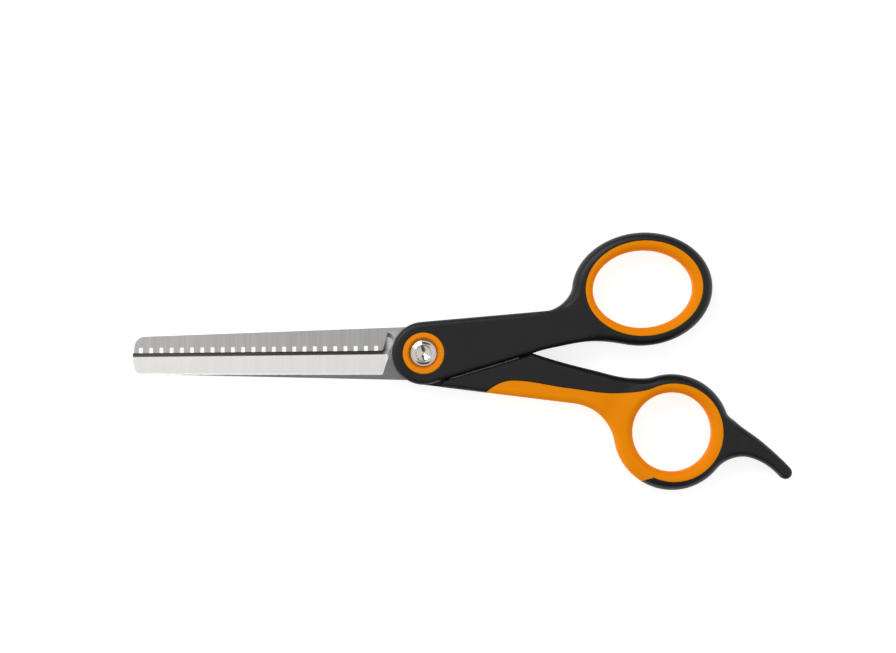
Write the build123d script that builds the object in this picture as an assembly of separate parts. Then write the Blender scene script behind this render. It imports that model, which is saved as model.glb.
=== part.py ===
from build123d import *
import math
import os

# Hairdresser's thinning shears lying flat and closed: a plain blade over a toothed blade on one pivot.
# Millimetres and degrees. The origin is the pivot axis on the plane that the shears lie on, +X runs
# from the pivot to the finger rest, +Y is the thumb's side and +Z is up, towards the screw head.
# The thumb half (thumb handle, its ring grip, plain blade, collar) swings on the finger half
# (finger handle with its finger rest, its grip, toothed blade, nut). The two halves are lapped.

# ---- stack, from the surface that the shears lie on ----
body_t = 8.6            # thickness of the handles
blade_t = 1.8           # thickness of each blade's stock
lap_gap = 0.2           # between the two halves where they cross
stop_gap = 0.3          # between the closing shoulder of one handle and the edge of the other
z_mid = body_t / 2
finger_face = z_mid - lap_gap / 2       # inner face of the finger half
thumb_face = z_mid + lap_gap / 2        # inner face of the thumb half
finger_back = finger_face - blade_t     # outer face of the toothed blade
thumb_top = thumb_face + blade_t        # outer face of the plain blade

# ---- pivot ----
shoulder_r = 2.5        # the screw's shoulder, which the blades turn on
run_gap = 0.03          # radial clearance of turning fits
bore_r = shoulder_r + run_gap
head_r, head_h = 3.4, 1.7
head_dome = 0.45        # how far the head's rim is rounded down
socket_af, socket_h = 3.6, 1.0
socket_cone_h = 0.45
thread_r = 1.75
nut_af, nut_t = 7.0, 1.9
nut_fit = 0.05
collar_in_r, collar_out_r = 3.85, 5.35
collar_proud = 0.12     # above the handle's face
collar_edge = 0.35
spring_out_r, spring_t, spring_rise = 3.4, 0.25, 0.15
washer_out_r, washer_t = 5.2, 0.16
washer_in_r = shoulder_r + 0.1
lift = 0.02             # axial play under a washer

# ---- blades ----
tip_x = -75.0
tip_lean = 0.7          # how far the rounded tip falls back at its corners
plain_tip_r, comb_tip_r = 2.1, 2.7
edge_tip_y, edge_heel_y = -0.05, 0.65       # cutting edge of the plain blade at its tip and heel
heel_x = -10.5
heel_top_x = -9.1
spine_tip_y, spine_pivot_y = -5.35, -7.0    # back of the plain blade at its tip and at the pivot
ricasso_y = 5.75        # top of the plain blade's unground part
edge_t = 0.55           # thickness left behind the cutting edge
grind_y = -5.65         # where the ground face of the plain blade starts
plunge_x = -8.7         # right end of the ground face at mid height
plunge_taper = 42.0
wheel_taper = 30.0      # how steeply the plain blade's ground face runs out
ground_top_y = 3.7      # top of that run-out, below the ricasso's top edge
bevel_w = 0.9           # width of the sharpened bevel
land_t = 0.08           # thickness at the very edge
comb_spine_tip_y, comb_spine_pivot_y = 4.15, 6.9
comb_root_tip_y, comb_root_heel_y = 1.35, 1.9     # the bottoms of the slots between the teeth
comb_tip_y, comb_tip_heel_y = -2.5, -2.2          # the ends of the teeth
tooth_gaps = 24
tooth_pitch = 2.638
tooth_gap_w = 1.02
last_gap_x = -12.25     # the slot nearest to the pivot
slot_r = 0.22
notch_w, notch_h = 0.8, 0.45
comb_heel_x = -9.6
comb_grind_y = 4.9      # where the toothed blade's ground outer face starts
tooth_t = 0.9           # thickness at the tips of the teeth
tang_end_x = 24.6
tang_wall = 1.25        # plastic beside the tang
tang_r = 1.4
tang_hole_r = 1.5
tang_holes_x = (11.0, 15.6)
finger_tang_angle = 3.0     # slope of the lower edge of the toothed blade's tang, clear of the soft grip

# ---- handles ----
hub_r = 8.1             # round end of each handle about the pivot
lap_angle = 16.8        # slope of each handle's lapped edge
thumb_top_angle = 5.0   # slope of the thumb handle's outer edge
finger_low_angle = -7.0
crotch_x = 28.6         # where the lapped edges part
relief_angle, relief_dist = 66.4, 7.66      # line where each closing shoulder starts, clear of the swinging blades
outer_r = 1.5           # rounding of the outer edges
hole_edge_r = 1.7       # rounding of the finger holes
step_edge = 0.3         # chamfer of the closing shoulders
lock_t, lock_depth = 2.0, 0.7       # rib that keeps each soft ring in its handle

# thumb ring: centre, half sizes and tilt of the handle, of the soft ring's seat and of the hole
thumb_ring = (56.3, 16.5, 18.05, 14.55, 4.5)
thumb_seat = (56.7, 16.7, 15.1, 12.25, 4.0)
thumb_hole = (56.4, 16.5, 12.9, 9.95, 3.0)
thumb_neck_x = 31.6     # where the outer edge starts to curve up to the ring

# finger ring, round: the handle, the soft ring's seat and the hole
finger_ring_c, finger_ring_r = (63.9, -20.3), 14.9
finger_seat_c, finger_seat_r = (64.35, -20.4), 12.65
finger_hole_r = 10.2
core_r, core_w, core_t = 12.55, 1.5, 3.0     # skeleton of the finger ring inside the soft grip
finger_neck_x = 38.5
rest_tip, rest_r = (93.1, -30.7), 1.7    # round end of the finger rest
grip_start_x = 16.1     # front end of the soft grip, on the lower edge


def polar(radius, degrees, center=(0, 0)):
    a = math.radians(degrees)
    return (center[0] + radius * math.cos(a), center[1] + radius * math.sin(a))


def heading(degrees):
    return polar(1, degrees)


def along(start, degrees, x):
    """The point at x on the line that leaves start at that slope."""
    return (x, start[1] + (x - start[0]) * math.tan(math.radians(degrees)))


def oval_at(oval, degrees):
    """Point and heading on an oval at that parameter angle, going counterclockwise."""
    x, y, a, b, tilt = oval
    t, k = math.radians(degrees), math.radians(tilt)
    u, v = a * math.cos(t), b * math.sin(t)
    du, dv = -a * math.sin(t), b * math.cos(t)
    size = math.hypot(du, dv)
    du, dv = du / size, dv / size
    point = (x + u * math.cos(k) - v * math.sin(k), y + u * math.sin(k) + v * math.cos(k))
    return point, (du * math.cos(k) - dv * math.sin(k), du * math.sin(k) + dv * math.cos(k))


def oval_face(oval, shrink=0.0):
    x, y, a, b, tilt = oval
    return Pos(x, y) * Rot(0, 0, tilt) * Ellipse(a - shrink, b - shrink)


def slab(face, low, high):
    """The flat outline as a solid between two heights."""
    return extrude(Pos(0, 0, low) * face, high - low)


def half_plane(degrees, radius, side):
    """All that lies under (side -1) or over (side 1) the line of that slope which passes the pivot at
    radius, over it when radius is positive and under it when it is negative."""
    far = 200.0
    return Rot(0, 0, degrees) * Pos(0, radius + side * far / 2) * Rectangle(2 * far, far)


def edges_at(solid, z):
    return [e for e in solid.edges() if abs(e.center().Z - z) < 1e-4 and e.bounding_box().size.Z < 1e-4]


# ---- outlines ----

def thumb_outline():
    """The thumb handle from its hub to its ring, seen from above."""
    low, high = -90 + lap_angle, 90 + thumb_top_angle
    lap_start = polar(hub_r, low)
    crotch = along(lap_start, lap_angle, crotch_x)
    low_join, low_way = oval_at(thumb_ring, 252)
    high_join, high_way = oval_at(thumb_ring, 172)
    neck = along(polar(hub_r, high), thumb_top_angle, thumb_neck_x)
    edges = [
        CenterArc((0, 0), hub_r, high, 360 + low - high),
        Line(lap_start, crotch),
        Spline(crotch, (35.1, 1.8), (43.4, 3.05), low_join, tangents=[heading(lap_angle + 4), low_way]),
        EllipticalCenterArc(
            thumb_ring[:2], thumb_ring[2], thumb_ring[3], 252, arc_size=280, rotation=thumb_ring[4]
        ),
        Spline(high_join, (35.7, 12.75), neck, tangents=[high_way, heading(180 + thumb_top_angle)]),
        Line(neck, polar(hub_r, high)),
    ]
    return make_face(Wire(edges))


def finger_outline():
    """The finger handle from its hub to the end of its finger rest, seen from above."""
    low, high = 270 + finger_low_angle, 90 - lap_angle
    lap_start = polar(hub_r, high)
    crotch = along(lap_start, -lap_angle, crotch_x)
    neck = along(polar(hub_r, low), finger_low_angle, finger_neck_x)
    joins = [polar(finger_ring_r, a, finger_ring_c) for a in (107, 20, -39, 189)]
    tip_high, tip_low = polar(rest_r, 40, rest_tip), polar(rest_r, 222, rest_tip)
    edges = [
        CenterArc((0, 0), hub_r, high, low - high),
        Line(polar(hub_r, low), neck),
        Spline(neck, (45.2, -15.7), joins[3], tangents=[heading(finger_low_angle), heading(279)]),
        CenterArc(finger_ring_c, finger_ring_r, 189, 132),
        Spline(joins[2], (82.0, -26.6), (87.2, -28.15), tip_low, tangents=[heading(51), heading(-48)]),
        ThreePointArc(tip_low, polar(rest_r, 311, rest_tip), tip_high),
        Spline(tip_high, (90.9, -26.1), (86.8, -22.5), (80.6, -17.85), joins[1],
               tangents=[heading(130), heading(110)]),
        CenterArc(finger_ring_c, finger_ring_r, 20, 87),
        Spline(joins[0], (53.7, -6.42), (43.4, -4.3), crotch, tangents=[heading(197), heading(180 - lap_angle - 2)]),
        Line(crotch, lap_start),
    ]
    return make_face(Wire(edges))


def grip_region():
    """Where the finger handle is soft: under the shank, round the left of the ring and in the hole."""
    start = along(polar(hub_r, 270 + finger_low_angle), finger_low_angle, grip_start_x)
    top_join = polar(finger_seat_r, 113, finger_seat_c)
    low_join = polar(finger_seat_r, 245, finger_seat_c)
    below, left = -45.0, 40.0
    edges = [
        Spline(start, (18.7, -8.15), (22.9, -7.0), tangents=[heading(52), heading(0)]),
        Spline((22.9, -7.0), (37.2, -8.95), (49.8, -10.25), top_join, tangents=[heading(0), heading(23)]),
        CenterArc(finger_seat_c, finger_seat_r, 245, 228),
        Line(low_join, (56.0, -32.85)),
        Line((56.0, -32.85), (left, below)),
        Line((left, below), (grip_start_x - 3, below)),
        Line((grip_start_x - 3, below), start),
    ]
    return make_face(Wire(edges))


def tang_outline(top_angle, mirror):
    """A blade's round middle and its tang, between two lines that run beside the handle's edges."""
    inner_r = hub_r - tang_wall
    low, high = -90 + lap_angle, 90 + top_angle
    low_end = along(polar(inner_r, low), lap_angle, tang_end_x)
    high_end = along(polar(inner_r, high), top_angle, tang_end_x)
    edges = [
        CenterArc((0, 0), inner_r, high, 360 + low - high),
        Line(polar(inner_r, low), low_end),
        Line(low_end, high_end),
        Line(high_end, polar(inner_r, high)),
    ]
    face = make_face(Wire(edges))
    corners = [v for v in face.vertices() if v.X > tang_end_x - 1]
    face = fillet(corners, tang_r)
    for x in tang_holes_x:
        middle = (along(polar(inner_r, low), lap_angle, x)[1] + along(polar(inner_r, high), top_angle, x)[1]) / 2
        face -= Pos(x, middle) * Circle(tang_hole_r)
    face -= Circle(bore_r)
    return mirror_y(face) if mirror else face


def mirror_y(face):
    return face.mirror(Plane.XZ)


# ---- blades ----

def blade_blank(outline, tang, low):
    return slab(outline + tang, low, low + blade_t) - slab(Circle(bore_r), low - 1, low + blade_t + 1)


def straight_blade():
    """Plain blade: ground from its back to its edge, then sharpened with a narrow steep bevel."""
    edge_slope = math.degrees(math.atan2(edge_heel_y - edge_tip_y, heel_x - tip_x))
    corners = [
        (tip_x, edge_tip_y), (heel_x, edge_heel_y), (heel_top_x, ricasso_y), (0, ricasso_y + 0.3),
        (0, spine_pivot_y), (tip_x + tip_lean, spine_tip_y),
    ]
    outline = make_face(Polyline(*corners, close=True))
    tip_corner = min(outline.vertices(), key=lambda v: v.X + v.Y)
    outline = fillet(tip_corner, plain_tip_r)
    heel = min(outline.vertices(), key=lambda v: (v.X - heel_x) ** 2 + (v.Y - edge_heel_y) ** 2)
    outline = fillet(heel, 0.8)
    blade = blade_blank(outline, tang_outline(thumb_top_angle, False), thumb_face)

    # the ground face falls from the back's flat to edge_t at the edge, and levels out past it
    fall = blade_t - edge_t
    slope = math.degrees(math.atan2(fall, edge_heel_y - bevel_w - grind_y))
    floor = Plane(origin=(0, grind_y, thumb_top), x_dir=(1, 0, 0), z_dir=(0, math.sin(math.radians(slope)), 1))
    wide = 14.0
    top = ground_top_y - grind_y
    plunge = make_face(Wire([
        Line((tip_x - 5, 0), (plunge_x - 1.9, 0)),
        ThreePointArc((plunge_x - 1.9, 0), (plunge_x - 0.62, 6.05), (plunge_x + 0.1, top)),
        Line((plunge_x + 0.1, top), (tip_x - 5, top)),
        Line((tip_x - 5, top), (tip_x - 5, 0)),
    ]))
    plunge = fillet([v for v in plunge.vertices() if v.X > tip_x], 0.7)
    wheel = extrude(floor * plunge, 3.0, taper=-wheel_taper)
    blade -= wheel & slab(Rectangle(400, 400), thumb_face + edge_t, thumb_top + 5)

    # sharpened bevel, which stops at the heel in a rounded end
    band = Rot(0, 0, edge_slope) * make_face(Wire([
        Line((-wide * 6, -bevel_w), (-3.2, -bevel_w)),
        ThreePointArc((-3.2, -bevel_w), (-0.9, -0.55), (0.25, 0.6)),
        Line((0.25, 0.6), (-wide * 6, 0.6)),
        Line((-wide * 6, 0.6), (-wide * 6, -bevel_w)),
    ]))
    tilt = math.degrees(math.atan2(edge_t - land_t, bevel_w))
    over = Rot(-tilt, 0, 0) * Pos(0, 0, 5) * Box(400, 60, 10)
    over = Pos(heel_x, edge_heel_y, thumb_face + land_t) * Rot(0, 0, edge_slope) * over
    return blade - (over & slab(Pos(heel_x, edge_heel_y) * band, thumb_face - 1, thumb_top + 1))


def thinning_blade():
    """Toothed blade: its slots are cut square through, and each tooth ends in a small notch."""
    corners = [
        (tip_x, comb_tip_y), (comb_heel_x - 1, comb_tip_heel_y), (comb_heel_x, -ricasso_y), (0, -ricasso_y - 0.3),
        (0, comb_spine_pivot_y), (tip_x + tip_lean, comb_spine_tip_y),
    ]
    outline = make_face(Polyline(*corners, close=True))
    tip_corner = min(outline.vertices(), key=lambda v: v.X - v.Y)
    outline = fillet(tip_corner, comb_tip_r)
    cuts = Sketch()
    for i in range(tooth_gaps):
        x = last_gap_x - i * tooth_pitch
        root = comb_root_heel_y + (comb_root_tip_y - comb_root_heel_y) * i / (tooth_gaps - 1)
        low = comb_tip_y - 2
        slot = Pos(x, (root + low) / 2) * Rectangle(tooth_gap_w, root - low)
        slot = fillet([v for v in slot.vertices() if v.Y > 0], slot_r)
        cuts += slot
    for i in range(tooth_gaps + 1):
        x = last_gap_x - (i - 0.5) * tooth_pitch
        end = comb_tip_heel_y + (comb_tip_y - comb_tip_heel_y) * (heel_x - x) / (heel_x - tip_x)
        if tip_x + 1 < x < last_gap_x:
            cuts += make_face(Polyline(
                (x - notch_w / 2, end - 0.05), (x, end + notch_h), (x + notch_w / 2, end - 0.05), close=True))
    blade = blade_blank(outline, tang_outline(-finger_tang_angle, True), finger_back)
    blade -= slab(cuts, finger_back - 1, finger_face + 1)

    # ground outer face, from the back's flat down to tooth_t at the tips of the teeth
    slope = math.degrees(math.atan2(blade_t - tooth_t, comb_grind_y - comb_tip_y))
    floor = Plane(
        origin=(0, comb_grind_y, finger_back), x_dir=(1, 0, 0), z_dir=(0, -math.sin(math.radians(slope)), -1))
    wide = 14.0
    ground = make_face(Wire([
        Line((tip_x - 5, 0), (plunge_x - 2.6, 0)),
        ThreePointArc((plunge_x - 2.6, 0), (plunge_x - 0.8, 4.6), (plunge_x - 1.4, wide)),
        Line((plunge_x - 1.4, wide), (tip_x - 5, wide)),
        Line((tip_x - 5, wide), (tip_x - 5, 0)),
    ]))
    ground = fillet(min(ground.vertices(), key=lambda v: abs(v.X - plunge_x + 2.6) + abs(v.Y)), 1.0)
    return blade - extrude(floor * ground, 3.0, taper=-plunge_taper)


# ---- handles ----

def thumb_full():
    """The thumb handle as one rounded body, before it is divided into hard and soft."""
    body = slab(thumb_outline() - oval_face(thumb_hole), 0, body_t)
    return round_and_lap(body, thumb_hole[:2], -lap_angle, 1)


def finger_full():
    body = slab(finger_outline() - Pos(*finger_ring_c) * Circle(finger_hole_r), 0, body_t)
    return round_and_lap(body, finger_ring_c, lap_angle, -1)


def round_and_lap(body, hole_center, slope, side):
    """Rounds the outer edges and the finger hole, and then cuts the lap that the other half crosses in."""
    def is_hole(edge):
        middle = edge.bounding_box().center()
        return edge.is_closed and math.dist((middle.X, middle.Y), hole_center) < 1.0

    flat = edges_at(body, 0) + edges_at(body, body_t)
    body = fillet([e for e in flat if is_hole(e)], hole_edge_r)
    flat = edges_at(body, 0) + edges_at(body, body_t)
    body = fillet([e for e in flat if not e.is_closed], outer_r)
    low, high = (-1, thumb_face) if side > 0 else (finger_face, body_t + 1)
    body -= slab(half_plane(slope, side * (hub_r + stop_gap), -side), low, high)
    return body - slab(half_plane(-side * relief_angle, side * relief_dist, -side), low, high)


def lock_rib(outer, inner):
    return slab(outer - inner, z_mid - lock_t / 2, z_mid + lock_t / 2)


def thumb_parts(blade):
    full = thumb_full()
    seat = slab(oval_face(thumb_seat), -1, body_t + 1)
    rib = lock_rib(oval_face(thumb_seat), oval_face(thumb_seat, lock_depth))
    frame = full - seat + rib
    grip = (full & seat) - rib
    frame -= blade
    frame -= slab(Circle(collar_out_r), thumb_face, body_t + 1) - blade
    return frame, grip


def finger_parts(blade):
    full = finger_full()
    region = slab(grip_region(), -1, body_t + 1)
    ring = Pos(*finger_ring_c)
    core = slab(ring * (Circle(core_r + core_w / 2) - Circle(core_r - core_w / 2)),
                z_mid - core_t / 2, z_mid + core_t / 2)
    seat = Pos(*finger_seat_c)
    rib = lock_rib(seat * Circle(finger_seat_r), seat * Circle(finger_seat_r - lock_depth))
    inside = (core + rib) & region
    frame = full - region + inside
    grip = (full & region) - inside - blade
    frame -= blade
    frame -= slab(Circle(bore_r), -1, body_t + 1)
    frame -= slab(RegularPolygon(nut_af / 2 + nut_fit, 6, major_radius=False), -1, finger_back)
    return frame, grip


# ---- pivot ----

def pivot_screw():
    """Shoulder screw: rounded head with a hexagon socket, shoulder for the blades, short thread."""
    low = thumb_top + lift + spring_t + spring_rise
    top = low + head_h
    shoulder_end = finger_back + 2 * run_gap
    thread_end = finger_back - nut_t + 0.1
    profile = make_face(Wire([
        Line((0, thread_end), (thread_r - 0.2, thread_end)),
        Line((thread_r - 0.2, thread_end), (thread_r, thread_end + 0.2)),
        Line((thread_r, thread_end + 0.2), (thread_r, shoulder_end)),
        Line((thread_r, shoulder_end), (shoulder_r, shoulder_end)),
        Line((shoulder_r, shoulder_end), (shoulder_r, low)),
        Line((shoulder_r, low), (head_r - 0.1, low)),
        Line((head_r - 0.1, low), (head_r, low + 0.1)),
        Line((head_r, low + 0.1), (head_r, top - head_dome)),
        ThreePointArc((head_r, top - head_dome), (head_r - 0.33, top - 0.1), (head_r - 0.85, top)),
        Line((head_r - 0.85, top), (0, top)),
        Line((0, top), (0, thread_end)),
    ]))
    screw = revolve(Plane.XZ * profile, Axis.Z)
    socket_r = socket_af / 2 / math.cos(math.radians(30))
    screw -= slab(RegularPolygon(socket_af / 2, 6, major_radius=False, rotation=11), top - socket_h, top + 1)
    screw -= Pos(0, 0, top - socket_h) * Rot(180, 0, 0) * Pos(0, 0, socket_cone_h / 2) * Cone(
        socket_af / 2, 0.05, socket_cone_h)
    lead_h = 0.35
    return screw - Pos(0, 0, top - lead_h / 2) * Cone(socket_r - 0.25, socket_r + 0.1, lead_h)


def pivot_nut():
    high = finger_back
    nut = slab(RegularPolygon(nut_af / 2, 6, major_radius=False) - Circle(thread_r + run_gap), high - nut_t, high)
    return chamfer(edges_at(nut, high - nut_t), 0.2)


def pivot_collar():
    collar = slab(Circle(collar_out_r) - Circle(collar_in_r), thumb_top, body_t + collar_proud)
    return fillet(edges_at(collar, body_t + collar_proud), collar_edge)


def spring_washer():
    """Coned disc spring under the screw's head."""
    low = thumb_top + lift
    profile = make_face(Polyline(
        (spring_out_r, low), (spring_out_r, low + spring_t), (washer_in_r, low + spring_t + spring_rise),
        (washer_in_r, low + spring_rise), close=True))
    return revolve(Plane.XZ * profile, Axis.Z)


def friction_washer():
    return slab(Circle(washer_out_r) - Circle(washer_in_r), finger_face, finger_face + washer_t)


def main():
    os.makedirs("parts", exist_ok=True)
    plain, toothed = straight_blade(), thinning_blade()
    thumb_handle, thumb_ring_grip = thumb_parts(plain)
    finger_handle, finger_handle_grip = finger_parts(toothed)
    parts = {
        "straight_blade": plain,
        "thinning_blade": toothed,
        "thumb_handle": thumb_handle,
        "thumb_ring_grip": thumb_ring_grip,
        "finger_handle": finger_handle,
        "finger_handle_grip": finger_handle_grip,
        "pivot_screw": pivot_screw(),
        "pivot_nut": pivot_nut(),
        "pivot_collar": pivot_collar(),
        "spring_washer": spring_washer(),
        "friction_washer": friction_washer(),
    }
    for name, shape in parts.items():
        print(name, len(shape.solids()), round(shape.volume, 1))
        export_step(shape, f"parts/{name}.step")


main()
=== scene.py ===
"""Looks for a pair of closed thinning shears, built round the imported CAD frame.

Everything is in metres in the frame of the CAD model: the origin is the pivot axis on the surface that
the shears lie on, +X runs to the finger rest, +Y to the thumb ring and +Z up to the screw head.
"""

from __future__ import annotations

import logging
import math
from collections.abc import Callable
from dataclasses import dataclass, field
from enum import Enum

import bmesh
import bpy
import numpy as np
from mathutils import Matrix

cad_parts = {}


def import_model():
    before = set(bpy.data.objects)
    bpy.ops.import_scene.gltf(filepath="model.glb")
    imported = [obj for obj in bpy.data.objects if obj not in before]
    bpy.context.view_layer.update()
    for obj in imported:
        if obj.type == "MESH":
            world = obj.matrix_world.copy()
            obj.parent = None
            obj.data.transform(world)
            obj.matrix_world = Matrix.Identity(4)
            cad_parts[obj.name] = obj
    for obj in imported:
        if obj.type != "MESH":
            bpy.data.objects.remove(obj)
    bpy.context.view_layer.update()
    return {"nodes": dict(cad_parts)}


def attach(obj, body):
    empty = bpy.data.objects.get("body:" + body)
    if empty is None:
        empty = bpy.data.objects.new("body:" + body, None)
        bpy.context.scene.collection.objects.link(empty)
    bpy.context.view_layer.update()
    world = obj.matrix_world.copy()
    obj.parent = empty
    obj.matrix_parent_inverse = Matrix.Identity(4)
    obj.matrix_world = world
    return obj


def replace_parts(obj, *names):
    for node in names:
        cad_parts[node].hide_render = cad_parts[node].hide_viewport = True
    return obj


log = logging.getLogger("shears")

MM = 0.001
BLADE_TIP_X, BLADE_HEEL_X = -75.0, -8.0


def linear(hex_colour: str) -> tuple[float, float, float, float]:
    """Turns an sRGB hex value such as "#E88600" into linear RGBA.

    Args:
        hex_colour: six hex digits after a hash sign.

    Returns:
        Linear red, green, blue and an alpha of 1.
    """
    srgb = np.array([int(hex_colour[i : i + 2], 16) for i in (1, 3, 5)]) / 255
    rgb = np.where(srgb <= 0.04045, srgb / 12.92, ((srgb + 0.055) / 1.055) ** 2.4)
    return (*(float(v) for v in rgb), 1.0)


def add(
    tree: bpy.types.NodeTree, kind: str, inputs: dict | None = None, **settings: object
) -> bpy.types.Node:
    """Adds a shader node with its settings and links.

    Args:
        tree: the node tree that gets it.
        kind: the node's type without "ShaderNode".
        inputs: value or incoming socket of each input, by name or number.
        **settings: properties of the node.

    Returns:
        The new node.
    """
    node = tree.nodes.new("ShaderNode" + kind)
    for name, value in settings.items():
        setattr(node, name, value)
    for key, value in (inputs or {}).items():
        if isinstance(value, bpy.types.NodeSocket):
            tree.links.new(value, node.inputs[key])
        else:
            node.inputs[key].default_value = value
    return node


def per_mm(size_mm: float) -> float:
    """Noise scale in 1/m that gives blotches about that many millimetres across."""
    return 1.0 / (size_mm * MM)


def blank(name: str) -> tuple[bpy.types.Material, bpy.types.NodeTree, bpy.types.Node, bpy.types.NodeSocket]:
    """Starts a node material.

    Args:
        name: the material's name.

    Returns:
        The material, its node tree, its shader, and the object coordinates that its patterns lie in.
    """
    made = bpy.data.materials.new(name)
    made.use_nodes = True
    tree = made.node_tree
    return made, tree, tree.nodes["Principled BSDF"], add(tree, "TexCoord").outputs["Object"]


@dataclass(frozen=True)
class Plastic:
    """Moulded thermoplastic or elastomer with a spark-eroded texture: a fine even grain, softly lit.

    Attributes:
        name: the material's name.
        colour: its sRGB colour.
        shade: the sRGB colour of its darker patches.
        roughness: of the surface between grains.
        grain_mm: width of one grain.
        grain_um: depth of the grain in micrometres.
        specular: specular level, below 0.5 where the grain hides part of the gloss.
        ior: index of refraction.
        patch_mm: width of one darker patch.
        spread: how much rougher or smoother than that the grains are.
    """

    name: str
    colour: str
    shade: str
    roughness: float
    grain_mm: float
    grain_um: float
    specular: float = 0.35
    ior: float = 1.5
    patch_mm: float = 9.0
    spread: float = 0.06

    def build(self) -> bpy.types.Material:
        """Makes the material: faint broad patches of shade, with the grain as gloss and bump.

        Returns:
            The material.
        """
        made, tree, shader, place = blank(self.name)
        patches = add(tree, "TexNoise", {"Vector": place, "Scale": per_mm(self.patch_mm), "Detail": 3.0})
        grain = add(tree, "TexNoise", {"Vector": place, "Scale": per_mm(self.grain_mm), "Detail": 2.0})
        tint = add(tree, "MixRGB", {0: patches.outputs[0], 1: linear(self.shade), 2: linear(self.colour)})
        rough = {3: self.roughness - self.spread, 4: self.roughness + self.spread}
        gloss = add(tree, "MapRange", {0: grain.outputs[0], **rough})
        bump = add(tree, "Bump", {"Height": grain.outputs[0], "Distance": self.grain_um * 1e-6})
        tree.links.new(tint.outputs[0], shader.inputs["Base Color"])
        tree.links.new(gloss.outputs[0], shader.inputs["Roughness"])
        tree.links.new(bump.outputs[0], shader.inputs["Normal"])
        shader.inputs["IOR"].default_value = self.ior
        shader.inputs["Specular IOR Level"].default_value = self.specular
        return made


@dataclass(frozen=True)
class Metal:
    """Plated or stamped small hardware.

    Attributes:
        name: the material's name.
        colour: its sRGB colour.
        shade: the sRGB colour of its duller patches.
        roughness: of the surface.
        patch_mm: width of one duller patch.
    """

    name: str
    colour: str
    shade: str
    roughness: float
    patch_mm: float

    def build(self) -> bpy.types.Material:
        """Makes the material: faint dull patches under an even gloss.

        Returns:
            The material.
        """
        made, tree, shader, place = blank(self.name)
        patches = add(tree, "TexNoise", {"Vector": place, "Scale": per_mm(self.patch_mm), "Detail": 4.0})
        tint = add(tree, "MixRGB", {0: patches.outputs[0], 1: linear(self.shade), 2: linear(self.colour)})
        tree.links.new(tint.outputs[0], shader.inputs["Base Color"])
        shader.inputs["Metallic"].default_value = 1.0
        shader.inputs["Roughness"].default_value = self.roughness
        return made


@dataclass(frozen=True)
class HonedBevelShade:
    """A blade's honed bevel, painted as shade: a thin dark line at the edge and a darker strip below a line
    in the plan, standing in for the dark reflection of the tilted bevel.

    Attributes:
        start: the line's end at the tip, in mm.
        end: the line's end at the heel, in mm.
        edge: sRGB colour of the painted shade on the edge itself.
        strip: sRGB colour of the painted shade on the strip.
        edge_mm: width of the edge.
        strip_mm: width from the line to the strip's far side.
        floor_mm: height that it stays above.
    """

    start: tuple[float, float]
    end: tuple[float, float]
    edge: str
    strip: str
    edge_mm: float
    strip_mm: float
    floor_mm: float

    def painted(
        self, tree: bpy.types.NodeTree, place: tuple[bpy.types.NodeSocket, ...], tint: bpy.types.Node,
    ) -> bpy.types.Node:
        """Paints the strip and then the edge over a colour as painted shade, by their distance below the
        line.

        Args:
            tree: the material's node tree.
            place: sockets of the object coordinates X, Y and Z.
            tint: the node with the colour so far.

        Returns:
            The node with the new colour.
        """
        x, y, z = place
        slope = (self.end[1] - self.start[1]) / (self.end[0] - self.start[0])
        base = (self.start[1] - slope * self.start[0]) * MM
        line = add(tree, "Math", {0: x, 1: slope, 2: base}, operation="MULTIPLY_ADD")
        depth = add(tree, "Math", {0: line.outputs[0], 1: y}, operation="SUBTRACT")
        over = add(tree, "MapRange", {0: z, 1: self.floor_mm * MM, 2: (self.floor_mm + 0.02) * MM})
        ends = add(tree, "MapRange", {0: x, 1: self.end[0] * MM, 2: (self.end[0] + 1.5) * MM, 3: 1.0, 4: 0.0})
        over = add(tree, "Math", {0: over.outputs[0], 1: ends.outputs[0]}, operation="MULTIPLY")
        for reach, colour, blur in ((self.strip_mm, self.strip, 0.08), (self.edge_mm, self.edge, 0.12)):
            span = {1: (reach - blur) * MM, 2: (reach + blur) * MM, 3: 1.0, 4: 0.0}
            band = add(tree, "MapRange", {0: depth.outputs[0], **span})
            band = add(tree, "Math", {0: band.outputs[0], 1: over.outputs[0]}, operation="MULTIPLY")
            tint = add(tree, "MixRGB", {0: band.outputs[0], 1: tint.outputs[0], 2: linear(colour)})
        return tint


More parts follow.
